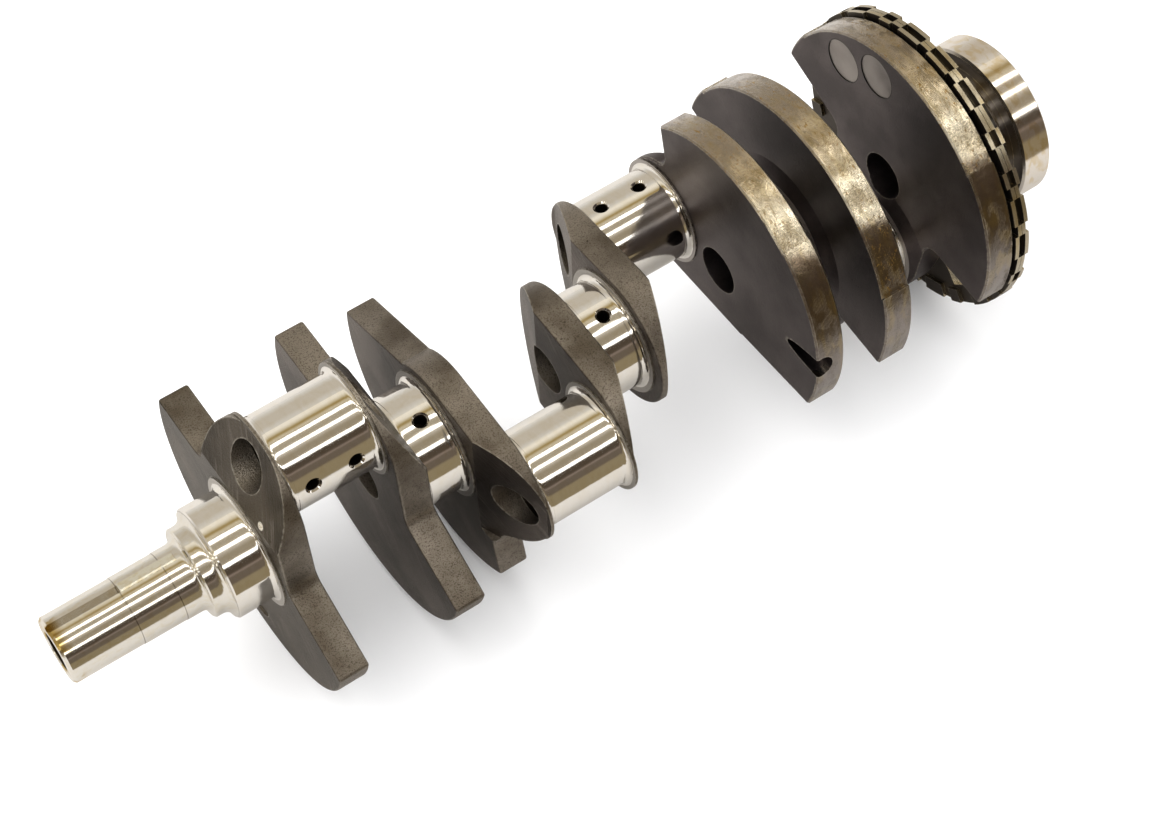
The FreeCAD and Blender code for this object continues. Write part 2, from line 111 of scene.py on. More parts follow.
def new_group(name, inputs, outputs):
    """Start a shader node group with named sockets, and return its tree, input and output."""
    tree = bpy.data.node_groups.new(name, "ShaderNodeTree")
    for label, kind in inputs:
        tree.interface.new_socket(label, in_out="INPUT", socket_type="NodeSocket" + kind)
    for label, kind in outputs:
        tree.interface.new_socket(label, in_out="OUTPUT", socket_type="NodeSocket" + kind)
    return tree, tree.nodes.new("NodeGroupInput"), tree.nodes.new("NodeGroupOutput")


def use_group(tree, group, **inputs):
    """Place a group in a material."""
    node = tree.nodes.new("ShaderNodeGroup")
    node.node_tree = group
    for name, value in inputs.items():
        socket = node.inputs[name.replace("_", " ")]
        if isinstance(value, bpy.types.NodeSocket):
            tree.links.new(value, socket)
        else:
            socket.default_value = value
    return node


def distance_to(tree, point, place):
    """Distance in metres from each point of the surface to one place."""
    node = add_node(tree, "ShaderNodeVectorMath", {"operation": "DISTANCE"}, i0=point.outputs["Object"])
    node.inputs[1].default_value = place
    return node.outputs["Value"]


def fill_ramp(node, stops):
    """Set the stops of a Color Ramp node, given as pairs of a position from 0 to 1 and a colour."""
    ramp = node.color_ramp
    for number, (position, tone) in enumerate(stops):
        # A new ramp already has two stops.
        if number < 2:
            stop = ramp.elements[number]
            stop.position = position
        else:
            stop = ramp.elements.new(position)
        stop.color = tone


print("helpers ready")

# %% [markdown]
# Where on the shaft is this point? This group answers in millimetres and degrees. The angle is 0
# at the top and grows towards the near side. It also says which way the surface faces: 1 on the
# flat end faces of a web, 0 on its rim.

# %% Shaft coordinates
SHAFT, _, shaft_out = new_group(
    "shaft_coordinates",
    [],
    [("Along", "Float"), ("Radius", "Float"), ("Angle", "Float"), ("Face", "Float"), ("Ring", "Vector")],
)
place = SHAFT.nodes.new("ShaderNodeTexCoord")
parts_of = add_node(SHAFT, "ShaderNodeSeparateXYZ", Vector=place.outputs["Object"])
facing = add_node(SHAFT, "ShaderNodeSeparateXYZ", Vector=place.outputs["Normal"])
x_mm = maths(SHAFT, "MULTIPLY", parts_of.outputs[0], MM)
y_mm = maths(SHAFT, "MULTIPLY", parts_of.outputs[1], MM)
z_mm = maths(SHAFT, "MULTIPLY", parts_of.outputs[2], MM)
squares = maths(SHAFT, "ADD", maths(SHAFT, "POWER", y_mm, 2.0), maths(SHAFT, "POWER", z_mm, 2.0))
radius_mm = maths(SHAFT, "SQRT", squares)
turn = maths(SHAFT, "ARCTAN2", maths(SHAFT, "MULTIPLY", y_mm, -1.0), z_mm)
turn_degrees = maths(SHAFT, "MULTIPLY", turn, DEGREES)
ring_point = add_node(SHAFT, "ShaderNodeCombineXYZ", X=x_mm, Y=radius_mm, Z=turn_degrees)
SHAFT.links.new(x_mm, shaft_out.inputs["Along"])
SHAFT.links.new(radius_mm, shaft_out.inputs["Radius"])
SHAFT.links.new(turn_degrees, shaft_out.inputs["Angle"])
flatness = maths(SHAFT, "ABSOLUTE", facing.outputs[0])
SHAFT.links.new(fade(SHAFT, flatness, 0.6, 0.85), shaft_out.inputs["Face"])
SHAFT.links.new(ring_point.outputs[0], shaft_out.inputs["Ring"])
print("outputs", [item.name for item in SHAFT.interface.items_tree])

# %% [markdown]
# Worn edges shine, because handling and machining take the dark skin off them first. A Bevel node
# gives the normal that a rounded edge would have, and where it differs from the real normal there
# is an edge. Noise breaks the line up, so that it doesn't look drawn.

# %% Edge wear
WEAR, wear_in, wear_out = new_group(
    "edge_wear", [("Width", "Float"), ("Amount", "Float")], [("Mask", "Float")]
)
rounded = WEAR.nodes.new("ShaderNodeBevel")
rounded.samples = 4
WEAR.links.new(wear_in.outputs["Width"], rounded.inputs["Radius"])
surface = WEAR.nodes.new("ShaderNodeNewGeometry")
likeness = WEAR.nodes.new("ShaderNodeVectorMath")
likeness.operation = "DOT_PRODUCT"
WEAR.links.new(rounded.outputs[0], likeness.inputs[0])
WEAR.links.new(surface.outputs["Normal"], likeness.inputs[1])
edge = fade(WEAR, likeness.outputs["Value"], 0.995, 0.90)
wear_place = WEAR.nodes.new("ShaderNodeTexCoord")
chips = add_node(WEAR, "ShaderNodeTexNoise", Vector=wear_place.outputs["Object"], Scale=420.0, Detail=4.0)
broken = fade(WEAR, chips.outputs[0], 0.30, 0.62)
amount = maths(WEAR, "MULTIPLY", maths(WEAR, "MULTIPLY", edge, broken), wear_in.outputs["Amount"], True)
WEAR.links.new(amount, wear_out.inputs["Mask"])
print("edge wear ready")

# %% [markdown]
# Turning and grinding leave fine rings. Noise that changes quickly along the shaft (or outwards,
# on a face) and hardly at all round it looks like the lines a tool leaves. The group puts out one
# height for the bump, and the same lines as a mask for the colour and the roughness.

# %% Tool lines
LINES, lines_in, lines_out = new_group(
    "tool_lines",
    [("Fineness", "Float"), ("Ring", "Vector")],
    [("Height", "Float"), ("Broad", "Float"), ("Grooves", "Float")],
)
stretch = LINES.nodes.new("ShaderNodeVectorMath")
stretch.operation = "MULTIPLY"
stretch.inputs[1].default_value = (1.0, 1.0, 0.012)
LINES.links.new(lines_in.outputs["Ring"], stretch.inputs[0])
fine = add_node(
    LINES, "ShaderNodeTexNoise", Vector=stretch.outputs[0], Scale=lines_in.outputs["Fineness"], Detail=3.0
)
slow = add_node(LINES, "ShaderNodeTexNoise", Vector=stretch.outputs[0], Scale=0.35, Detail=2.0)
# Feed marks of the turning tool, strong only in patches.
FEED_MM = 0.75
split = add_node(LINES, "ShaderNodeSeparateXYZ", Vector=lines_in.outputs["Ring"])
pitch = maths(LINES, "MULTIPLY", split.outputs[0], 2.0 * math.pi / FEED_MM)
shaken = maths(LINES, "ADD", pitch, maths(LINES, "MULTIPLY", fine.outputs[0], 2.4))
wave = maths(LINES, "ADD", maths(LINES, "MULTIPLY", maths(LINES, "SINE", shaken), 0.5), 0.5)
patchy = LINES.nodes.new("ShaderNodeVectorMath")
patchy.operation = "MULTIPLY"
patchy.inputs[1].default_value = (0.10, 0.0, 0.09)
LINES.links.new(lines_in.outputs["Ring"], patchy.inputs[0])
where_deep = add_node(LINES, "ShaderNodeTexNoise", Vector=patchy.outputs[0], Scale=1.6, Detail=2.0)
deep = fade(LINES, where_deep.outputs[0], 0.42, 0.60)
LINES.links.new(maths(LINES, "MULTIPLY", wave, deep), lines_out.inputs["Grooves"])
LINES.links.new(fine.outputs[0], lines_out.inputs["Height"])
LINES.links.new(slow.outputs[0], lines_out.inputs["Broad"])
print("tool lines ready")

# %% [markdown]
# Oil is left on a crankshaft to keep rust away. It gathers in thin amber patches that run down the
# rim, so the patches are long in the running direction. The group gives a soft mask for the film
# and a sharper one for the few dark drips.

# %% Oil film
OIL, oil_in, oil_out = new_group("oil_film", [("Ring", "Vector")], [("Film", "Float"), ("Drips", "Float")])
run_down = OIL.nodes.new("ShaderNodeVectorMath")
run_down.operation = "MULTIPLY"
run_down.inputs[1].default_value = (0.16, 0.05, 0.085)
OIL.links.new(oil_in.outputs["Ring"], run_down.inputs[0])
flow = run_down.outputs[0]
film_noise = add_node(OIL, "ShaderNodeTexNoise", Vector=flow, Scale=1.3, Detail=6.0, Distortion=0.6)
drip_noise = add_node(OIL, "ShaderNodeTexNoise", Vector=flow, Scale=4.2, Detail=5.0, Distortion=2.2)
OIL.links.new(fade(OIL, film_noise.outputs[0], 0.44, 0.66), oil_out.inputs["Film"])
OIL.links.new(fade(OIL, drip_noise.outputs[0], 0.60, 0.645), oil_out.inputs["Drips"])
print("oil ready")

# %% [markdown]
# A forging is shot blasted after it cools. That leaves a skin of tiny dents with a few deeper
# pits, and broad uneven patches where the scale came off at different times.

# %% Forged skin
SKIN, skin_in, skin_out = new_group(
    "forged_skin", [("Pitting", "Float")], [("Height", "Float"), ("Patches", "Float"), ("Pits", "Float")]
)
skin_place = SKIN.nodes.new("ShaderNodeTexCoord")
dents = add_node(SKIN, "ShaderNodeTexNoise", Vector=skin_place.outputs["Object"], Scale=900.0, Detail=5.0)
cells = add_node(SKIN, "ShaderNodeTexVoronoi", Vector=skin_place.outputs["Object"], Scale=330.0)
patches = add_node(SKIN, "ShaderNodeTexNoise", Vector=skin_place.outputs["Object"], Scale=26.0, Detail=7.0)
sparse = add_node(SKIN, "ShaderNodeTexNoise", Vector=skin_place.outputs["Object"], Scale=70.0, Detail=3.0)
pit_shape = fade(SKIN, cells.outputs["Distance"], 0.30, 0.08)
pit_here = fade(SKIN, sparse.outputs[0], 0.52, 0.68)
all_pits = maths(SKIN, "MULTIPLY", pit_shape, pit_here)
pits = maths(SKIN, "MULTIPLY", all_pits, skin_in.outputs["Pitting"], True)
height = maths(SKIN, "SUBTRACT", dents.outputs[0], maths(SKIN, "MULTIPLY", pits, 1.6))
SKIN.links.new(height, skin_out.inputs["Height"])
SKIN.links.new(fade(SKIN, patches.outputs[0], 0.34, 0.68), skin_out.inputs["Patches"])
SKIN.links.new(pits, skin_out.inputs["Pits"])
print("forged skin ready")

# %% [markdown]
# Two more kinds of mark lie over the skin. The trimming cutter left shallow arcs, all bent round a
# point far outside the part, so noise is squeezed across the arcs and stretched along them. And
# the metal's grain shows as specks finer than a millimetre.

# %% Cutter arcs and grain
SCARS, _, scars_out = new_group(
    "cutter_scars", [], [("Lines", "Float"), ("Grain", "Float"), ("Height", "Float")]
)
scar_place = SCARS.nodes.new("ShaderNodeTexCoord")
from_centre = SCARS.nodes.new("ShaderNodeVectorMath")
from_centre.operation = "SUBTRACT"
from_centre.inputs[1].default_value = (0.10, 0.22, -0.20)
SCARS.links.new(scar_place.outputs["Object"], from_centre.inputs[0])
arc_reach = SCARS.nodes.new("ShaderNodeVectorMath")
arc_reach.operation = "LENGTH"
SCARS.links.new(from_centre.outputs[0], arc_reach.inputs[0])
along_arc = add_node(SCARS, "ShaderNodeSeparateXYZ", Vector=scar_place.outputs["Object"])
arc_point = add_node(
    SCARS,
    "ShaderNodeCombineXYZ",
    X=maths(SCARS, "MULTIPLY", arc_reach.outputs["Value"], 900.0),
    Y=maths(SCARS, "MULTIPLY", along_arc.outputs[1], 34.0),
    Z=maths(SCARS, "MULTIPLY", along_arc.outputs[0], 40.0),
)
arc_noise = add_node(SCARS, "ShaderNodeTexNoise", Vector=arc_point.outputs[0], Scale=1.0, Detail=4.0)
scar_point = scar_place.outputs["Object"]
arc_where = add_node(SCARS, "ShaderNodeTexNoise", Vector=scar_point, Scale=34.0, Detail=2.0)
arc_lines = fade(SCARS, arc_noise.outputs[0], 0.52, 0.70)
arc_shown = fade(SCARS, arc_where.outputs[0], 0.42, 0.62)
SCARS.links.new(maths(SCARS, "MULTIPLY", arc_lines, arc_shown), scars_out.inputs["Lines"])
grain_noise = add_node(SCARS, "ShaderNodeTexNoise", Vector=scar_point, Scale=1500.0, Detail=3.0)
SCARS.links.new(fade(SCARS, grain_noise.outputs[0], 0.48, 0.66), scars_out.inputs["Grain"])
SCARS.links.new(arc_noise.outputs[0], scars_out.inputs["Height"])
print("scars ready")


# %% [markdown]
# Steel is a metal all through, so every finish here is the same shader with Metallic at 1. What
# tells them apart is how dark the skin is, how rough it is, and which marks it carries.

# %% Start and end of a steel material
def start_steel(name):
    """A new material with its shader and the shaft coordinates."""
    material = bpy.data.materials.new(name)
    material.use_nodes = True
    tree = material.node_tree
    shader = tree.nodes["Principled BSDF"]
    shader.inputs["Metallic"].default_value = 1.0
    return material, tree, shader, use_group(tree, SHAFT)


def add_bump(tree, shader, height, strength, distance):
    """Turn a height into a normal."""
    bump = add_node(tree, "ShaderNodeBump", Height=height, Strength=strength, Distance=distance)
    tree.links.new(bump.outputs[0], shader.inputs["Normal"])


# A boss is full within the inner depth of the web's end, in mm, and gone at the outer one.
BOSS_INNER = 0.25
BOSS_OUTER = 0.35


def boss_mask(tree, shaft, web):
    """1 on the machined bosses of a web, which are its outermost flat faces along the shaft."""
    low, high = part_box(web)
    front = fade(tree, shaft.outputs["Along"], low.x * MM + BOSS_OUTER, low.x * MM + BOSS_INNER)
    back = fade(tree, shaft.outputs["Along"], high.x * MM - BOSS_OUTER, high.x * MM - BOSS_INNER)
    either = maths(tree, "ADD", front, back, True)
    return maths(tree, "MULTIPLY", either, shaft.outputs["Face"])


print("steel base ready")


# %% [markdown]
# The journals are ground and then polished with a belt while the shaft turns. They are almost a
# mirror, with hair-fine rings, so roughness stays near 0.1 and the bump is tiny. The wheel also
# leaves shallow waves, which make the edge of every reflected lamp wander a little. The oil holes
# get painted shade: anything nearer to the journal's own axis than its ground surface is drilled
# steel that light hardly reaches, so it is painted nearly black and made rougher.

# %% Ground journals
def ground_steel(name, tint, roughness, oil_share, axis=(0.0, 0.0), shade_below=0.0, lands=()):
    """Ground and polished steel with painted shade in its holes; lands are the tip and the ends of each
    land.
    """
    material, tree, shader, shaft = start_steel(name)
    lines = use_group(tree, LINES, Fineness=7.0, Ring=shaft.outputs["Ring"])
    oil = use_group(tree, OIL, Ring=shaft.outputs["Ring"])
    point = tree.nodes.new("ShaderNodeTexCoord")
    warm = (tint[0] * 0.90, tint[1] * 0.82, tint[2] * 0.64, 1.0)
    film = maths(tree, "MULTIPLY", oil.outputs["Film"], oil_share)
    base = mix_colour(tree, film, tint, warm)
    darker = (tint[0] * 0.84, tint[1] * 0.83, tint[2] * 0.81, 1.0)
    base = mix_colour(tree, maths(tree, "MULTIPLY", lines.outputs["Broad"], 0.30), base, darker)
    if lands:
        near_tip = fade(tree, shaft.outputs["Along"], lands[0] + 9.0, lands[0] + 1.0)
        blots = add_node(tree, "ShaderNodeTexNoise", Vector=point.outputs["Object"], Scale=95.0, Detail=5.0)
        stain = maths(tree, "MULTIPLY", near_tip, fade(tree, blots.outputs[0], 0.46, 0.54))
        base = mix_colour(tree, maths(tree, "MULTIPLY", stain, 0.9), base, colour(0.46, 0.31, 0.05))
    for land_end in lands[1:]:
        away = maths(tree, "ABSOLUTE", maths(tree, "SUBTRACT", shaft.outputs["Along"], land_end))
        line = maths(tree, "MULTIPLY", fade(tree, away, 0.30, 0.10), 0.5)
        base = mix_colour(tree, line, base, colour(0.07, 0.055, 0.045))
    offset = add_node(tree, "ShaderNodeVectorMath", {"operation": "SUBTRACT"}, i0=point.outputs["Object"])
    offset.inputs[1].default_value = (0.0, axis[0], axis[1])
    flat = add_node(tree, "ShaderNodeVectorMath", {"operation": "MULTIPLY"}, i0=offset.outputs[0])
    flat.inputs[1].default_value = (0.0, 1.0, 1.0)
    reach = add_node(tree, "ShaderNodeVectorMath", {"operation": "LENGTH"}, i0=flat.outputs[0])
    # Painted shade: below this radius the drilled steel of a hole is coloured nearly black.
    hole_shade = fade(tree, reach.outputs["Value"], shade_below, shade_below - 0.0004)
    base = mix_colour(tree, hole_shade, base, colour(0.030, 0.022, 0.014))
    tree.links.new(base, shader.inputs["Base Color"])
    spread = maths(tree, "MULTIPLY", lines.outputs["Height"], 0.07)
    rough = maths(tree, "ADD", spread, roughness - 0.03)
    rough = maths(tree, "ADD", rough, maths(tree, "MULTIPLY", hole_shade, 0.4))
    tree.links.new(rough, shader.inputs["Roughness"])
    waves = add_node(tree, "ShaderNodeTexNoise", Vector=point.outputs["Object"], Scale=95.0, Detail=2.0)
    height = maths(tree, "ADD", lines.outputs["Height"], maths(tree, "MULTIPLY", waves.outputs[0], 9.0))
    add_bump(tree, shader, height, 0.10, 0.00005)
    return material


# The fillets rise this much above the ground surface, and the painted shade of the holes starts this far
# below it.
FILLET_RISE = 0.00245
HOLE_SHADE_DEPTH = 0.0007
JOURNAL_TINT = colour(0.89, 0.87, 0.835)
JOURNALS = {}
for name in nodes:
    if "journal" in name:
        low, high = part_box(name)
        centre = (low + high) / 2.0
        ground_radius = (high.y - low.y) / 2.0 - FILLET_RISE
        axis = (centre.y, centre.z)
        shade_below = ground_radius - HOLE_SHADE_DEPTH
        JOURNALS[name] = ground_steel("ground_" + name, JOURNAL_TINT, 0.075, 0.22, axis, shade_below)
        print(name, "ground radius", round(ground_radius * MM, 2))
# The damper land ends this far from the tip, in mm, and the pump land this much further on.
DAMPER_LAND = 39.0
PUMP_LAND = 24.0
# The bolt hole in the tip gets painted shade within this radius.
TIP_HOLE = 0.0112
SNOUT_TINT = colour(0.84, 0.82, 0.775)
snout_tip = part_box("snout")[0].x * MM
snout_lands = (snout_tip, snout_tip + DAMPER_LAND, snout_tip + DAMPER_LAND + PUMP_LAND)
SNOUT = ground_steel("ground_snout", SNOUT_TINT, 0.10, 0.40, (0.0, 0.0), TIP_HOLE, snout_lands)
KEY = ground_steel("key_steel", colour(0.88, 0.86, 0.76), 0.20, 0.6)


# %% [markdown]
# The first five webs keep their forged skin, dark grey with a brown cast. It isn't even: scale came
# off in lighter patches, the trimming cutter left arcs, and a fine grain lies over everything. The
# bore edges and the corners are rubbed bright. The front web has one bright dot, ground clean for
# a hardness test.

# %% Forged webs
def forged_steel(web, pitting, face_tones, test_spot=None):
    """Dark shot-blasted forging with rubbed edges, and an optional bright test spot."""
    material, tree, shader, shaft = start_steel("forged_" + web)
    skin = use_group(tree, SKIN, Pitting=pitting)
    wear = use_group(tree, WEAR, Width=0.0014, Amount=0.85)
    marks = use_group(tree, LINES, Fineness=1.4, Ring=shaft.outputs["Ring"])
    scars = use_group(tree, SCARS)
    base = mix_colour(tree, skin.outputs["Patches"], face_tones[0], face_tones[1])
    rim = mix_colour(tree, skin.outputs["Patches"], colour(0.145, 0.122, 0.095), colour(0.340, 0.305, 0.262))
    rim_mask = maths(tree, "MULTIPLY", maths(tree, "SUBTRACT", 1.0, shaft.outputs["Face"]), 0.85)
    base = mix_colour(tree, rim_mask, base, rim)
    arc_share = maths(tree, "MULTIPLY", shaft.outputs["Face"], 0.42)
    arcs = maths(tree, "MULTIPLY", scars.outputs["Lines"], arc_share)
    base = mix_colour(tree, arcs, base, colour(0.31, 0.275, 0.245))
    specks = maths(tree, "MULTIPLY", scars.outputs["Grain"], 0.62)
    base = mix_colour(tree, specks, base, colour(0.042, 0.034, 0.027))
    base = mix_colour(tree, skin.outputs["Pits"], base, colour(0.030, 0.024, 0.019))
    base = mix_colour(tree, wear.outputs["Mask"], base, colour(0.50, 0.47, 0.41))
    boss = boss_mask(tree, shaft, web)
    base = mix_colour(tree, maths(tree, "MULTIPLY", boss, 0.9), base, colour(0.50, 0.475, 0.445))
    rough = maths(tree, "SUBTRACT", 0.40, maths(tree, "MULTIPLY", wear.outputs["Mask"], 0.12))
    if test_spot is not None:
        point = tree.nodes.new("ShaderNodeTexCoord")
        spot = fade(tree, distance_to(tree, point, test_spot), 0.0028, 0.0022)
        base = mix_colour(tree, spot, base, colour(0.82, 0.80, 0.74))
        rough = maths(tree, "SUBTRACT", rough, maths(tree, "MULTIPLY", spot, 0.15))
    tree.links.new(base, shader.inputs["Base Color"])
    tree.links.new(rough, shader.inputs["Roughness"])
    mixed = maths(tree, "ADD", skin.outputs["Height"], maths(tree, "MULTIPLY", marks.outputs["Height"], 0.6))
    on_face = maths(tree, "MULTIPLY", shaft.outputs["Face"], 1.2)
    mixed = maths(tree, "ADD", mixed, maths(tree, "MULTIPLY", scars.outputs["Height"], on_face))
    mixed = maths(tree, "SUBTRACT", mixed, maths(tree, "MULTIPLY", scars.outputs["Grain"], 0.5))
    add_bump(tree, shader, mixed, 0.60, 0.00030)
    return material


GREY_FACE = (colour(0.060, 0.048, 0.041), colour(0.150, 0.127, 0.112))
BROWN_FACE = (colour(0.036, 0.028, 0.019), colour(0.098, 0.082, 0.063))
# The test spot sits on the front of the first web, below the lightening hole.
spot_place = (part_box("web_1")[0].x + 0.0010, -0.0215, 0.0415)
finish_of = {
    "web_1": forged_steel("web_1", 0.3, BROWN_FACE, spot_place),
    "web_2": forged_steel("web_2", 0.45, GREY_FACE),
    "web_3": forged_steel("web_3", 0.45, GREY_FACE),
    "web_4": forged_steel("web_4", 1.0, GREY_FACE),
    "web_5": forged_steel("web_5", 0.8, GREY_FACE),
}
print("forged finishes", sorted(finish_of))


# %% [markdown]
# The last three webs had their rims turned down to balance the shaft. The turned rims are painted
# by the angle round the shaft with reflections and shade: pale on top, a bright painted highlight
# on the near side, and almost black lower down, with noise so that no border is straight. The faces
# stay dark, nearly purple, with broad rings from the facing cut.

# %% Machined webs
# Angle round the shaft in degrees, and the rim colour there, which is painted reflection and painted shade.
# The ramp spans 200 degrees.
RIM_FIRST = -90.0
RIM_SPAN = 200.0
RIM_PAINTED_LIGHT = [
    (-62, colour(0.62, 0.60, 0.58)), (-42, colour(0.60, 0.57, 0.55)), (-29, colour(0.46, 0.41, 0.35)),
    (-18, colour(0.42, 0.36, 0.29)), (-3, colour(0.41, 0.34, 0.25)), (6, colour(0.54, 0.46, 0.34)),
    (21, colour(0.56, 0.49, 0.36)), (28, colour(0.96, 0.89, 0.73)), (37, colour(0.98, 0.90, 0.72)),
    (45, colour(0.24, 0.185, 0.13)), (66, colour(0.14, 0.105, 0.073)), (77, colour(0.19, 0.165, 0.15)),
    (92, colour(0.29, 0.26, 0.245)),
]


def rim_painted_light(tree, angle):
    """Painted reflections and shade of a turned rim, by its angle."""
    ramp_node = tree.nodes.new("ShaderNodeValToRGB")
    along_ramp = maths(tree, "DIVIDE", maths(tree, "SUBTRACT", angle, RIM_FIRST), RIM_SPAN)
    tree.links.new(along_ramp, ramp_node.inputs[0])
    fill_ramp(ramp_node, [((degrees - RIM_FIRST) / RIM_SPAN, tone) for degrees, tone in RIM_PAINTED_LIGHT])
    return ramp_node.outputs[0]


def machined_steel(web, turned_from, turned_to, rings=()):
    """Dark faces and a turned rim painted with reflections and shade by angle; oil drips only between two
    angles; rings outline the slugs.
    """
    material, tree, shader, shaft = start_steel("machined_" + web)
    skin = use_group(tree, SKIN, Pitting=0.35)
    wear = use_group(tree, WEAR, Width=0.0013, Amount=0.8)
    marks = use_group(tree, LINES, Fineness=1.3, Ring=shaft.outputs["Ring"])
    oil = use_group(tree, OIL, Ring=shaft.outputs["Ring"])
    scars = use_group(tree, SCARS)
    point = tree.nodes.new("ShaderNodeTexCoord")
    broad = add_node(tree, "ShaderNodeTexNoise", Vector=point.outputs["Object"], Scale=21.0, Detail=4.0)
    cloud = fade(tree, broad.outputs[0], 0.34, 0.66)
    face = mix_colour(tree, cloud, colour(0.060, 0.048, 0.048), colour(0.135, 0.113, 0.112))
    rings_cut = maths(tree, "MULTIPLY", marks.outputs["Broad"], 0.35)
    face = mix_colour(tree, rings_cut, face, colour(0.055, 0.046, 0.050))
    face_specks = maths(tree, "MULTIPLY", scars.outputs["Grain"], 0.28)
    face = mix_colour(tree, face_specks, face, colour(0.035, 0.028, 0.030))
    wander = maths(tree, "MULTIPLY", maths(tree, "SUBTRACT", broad.outputs[0], 0.5), 26.0)
    # Painted reflections and shade: the rim's colour is set by its angle round the shaft.
    rim = rim_painted_light(tree, maths(tree, "ADD", shaft.outputs["Angle"], wander))
    dark_line = maths(tree, "MULTIPLY", marks.outputs["Grooves"], 0.45)
    rim = mix_colour(tree, dark_line, rim, colour(0.13, 0.10, 0.065))
    specks = maths(tree, "MULTIPLY", scars.outputs["Grain"], 0.35)
    rim = mix_colour(tree, specks, rim, colour(0.11, 0.085, 0.055))
    rim = mix_colour(tree, maths(tree, "MULTIPLY", oil.outputs["Film"], 0.35), rim, colour(0.36, 0.28, 0.13))
    before = fade(tree, shaft.outputs["Angle"], turned_from - 0.4, turned_from)
    after = fade(tree, shaft.outputs["Angle"], turned_to + 0.4, turned_to)
    turned_part = maths(tree, "MULTIPLY", before, after)
    drips = maths(tree, "MULTIPLY", oil.outputs["Drips"], turned_part)
    rim = mix_colour(tree, maths(tree, "MULTIPLY", drips, 0.9), rim, colour(0.34, 0.20, 0.03))
    on_rim = fade(tree, shaft.outputs["Radius"], 80.0, 83.0)
    off_face = maths(tree, "SUBTRACT", 1.0, shaft.outputs["Face"])
    rim_mask = maths(tree, "MULTIPLY", on_rim, off_face)
    base = mix_colour(tree, rim_mask, face, rim)
    base = mix_colour(tree, skin.outputs["Pits"], base, colour(0.03, 0.025, 0.022))
    worn = maths(tree, "MULTIPLY", wear.outputs["Mask"], 0.75)
    base = mix_colour(tree, worn, base, colour(0.55, 0.51, 0.43))
    boss = boss_mask(tree, shaft, web)
    base = mix_colour(tree, maths(tree, "MULTIPLY", boss, 0.85), base, colour(0.46, 0.43, 0.41))
    for centre, radius in rings:
        line = fade(tree, distance_to(tree, point, centre), radius + 0.0008, radius + 0.0002)
        base = mix_colour(tree, line, base, colour(0.02, 0.017, 0.016))
    tree.links.new(base, shader.inputs["Base Color"])
    rough = maths(tree, "SUBTRACT", 0.38, maths(tree, "MULTIPLY", rim_mask, 0.14))
    wet = maths(tree, "MULTIPLY", maths(tree, "MULTIPLY", oil.outputs["Film"], rim_mask), 0.08)
    tree.links.new(maths(tree, "SUBTRACT", rough, wet), shader.inputs["Roughness"])
    cut_lines = maths(tree, "MULTIPLY", maths(tree, "MULTIPLY", marks.outputs["Grooves"], rim_mask), 2.2)
    mixed = maths(tree, "ADD", skin.outputs["Height"], cut_lines)
    mixed = maths(tree, "ADD", mixed, maths(tree, "MULTIPLY", drips, rim_mask))
    add_bump(tree, shader, mixed, 0.42, 0.00020)
    return material


slug_rings = []
for slug in ("heavy_metal_slug_1", "heavy_metal_slug_2"):
    low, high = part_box(slug)
    middle = (low + high) / 2.0
    slug_rings.append(((low.x, middle.y, middle.z), (high.y - low.y) / 2.0))
finish_of["web_6"] = machined_steel("web_6", -44.0, 37.5)
finish_of["web_7"] = machined_steel("web_7", -58.0, 70.5)
finish_of["web_8"] = machined_steel("web_8", -58.0, 46.0, slug_rings)
print("slug radius", round(slug_rings[0][1] * MM, 2))


# %% [markdown]
# The slugs are a heavier metal, faced off in place, so the cutter leaves a small swirl on each.
# The ring plates are stamped from sheet: dark faces, and cut edges that are bright and yellowish.

# %% Slugs, ring and flange
# Radians of swirl for each metre from the middle, which is a ring about every 0.7 mm.
SWIRL = 9000.0


def slug_metal(name, centre):
    """Faced slug with a swirl round its own centre."""
    material, tree, shader, _ = start_steel(name)
    point = tree.nodes.new("ShaderNodeTexCoord")
    swirl = maths(tree, "SINE", maths(tree, "MULTIPLY", distance_to(tree, point, centre), SWIRL))
    skin = use_group(tree, SKIN, Pitting=0.3)
    base = mix_colour(tree, skin.outputs["Patches"], colour(0.14, 0.120, 0.112), colour(0.33, 0.300, 0.28))
    tree.links.new(base, shader.inputs["Base Color"])
    rough = maths(tree, "ADD", 0.33, maths(tree, "MULTIPLY", swirl, 0.05))
    tree.links.new(rough, shader.inputs["Roughness"])
    add_bump(tree, shader, maths(tree, "ADD", skin.outputs["Height"], swirl), 0.25, 0.00008)
    return material


def plate_steel(name, face_colour, edge_colour, roughness):
    """Dark faces, bright cut or turned edges, rubbed corners."""
    material, tree, shader, shaft = start_steel(name)
    skin = use_group(tree, SKIN, Pitting=0.2)
    wear = use_group(tree, WEAR, Width=0.0006, Amount=0.9)
    lines = use_group(tree, LINES, Fineness=2.6, Ring=shaft.outputs["Ring"])
    oil = use_group(tree, OIL, Ring=shaft.outputs["Ring"])
    warm = (edge_colour[0] * 0.85, edge_colour[1] * 0.74, edge_colour[2] * 0.5, 1.0)
    edge_part = mix_colour(tree, maths(tree, "MULTIPLY", oil.outputs["Film"], 0.7), edge_colour, warm)
    base = mix_colour(tree, shaft.outputs["Face"], edge_part, face_colour)
    base = mix_colour(tree, wear.outputs["Mask"], base, colour(0.60, 0.55, 0.42))
    tree.links.new(base, shader.inputs["Base Color"])
    rough = maths(tree, "ADD", roughness, maths(tree, "MULTIPLY", shaft.outputs["Face"], 0.18))
    tree.links.new(rough, shader.inputs["Roughness"])
    mixed = maths(tree, "ADD", lines.outputs["Height"], maths(tree, "MULTIPLY", skin.outputs["Height"], 0.4))
    add_bump(tree, shader, mixed, 0.25, 0.00008)
    return material


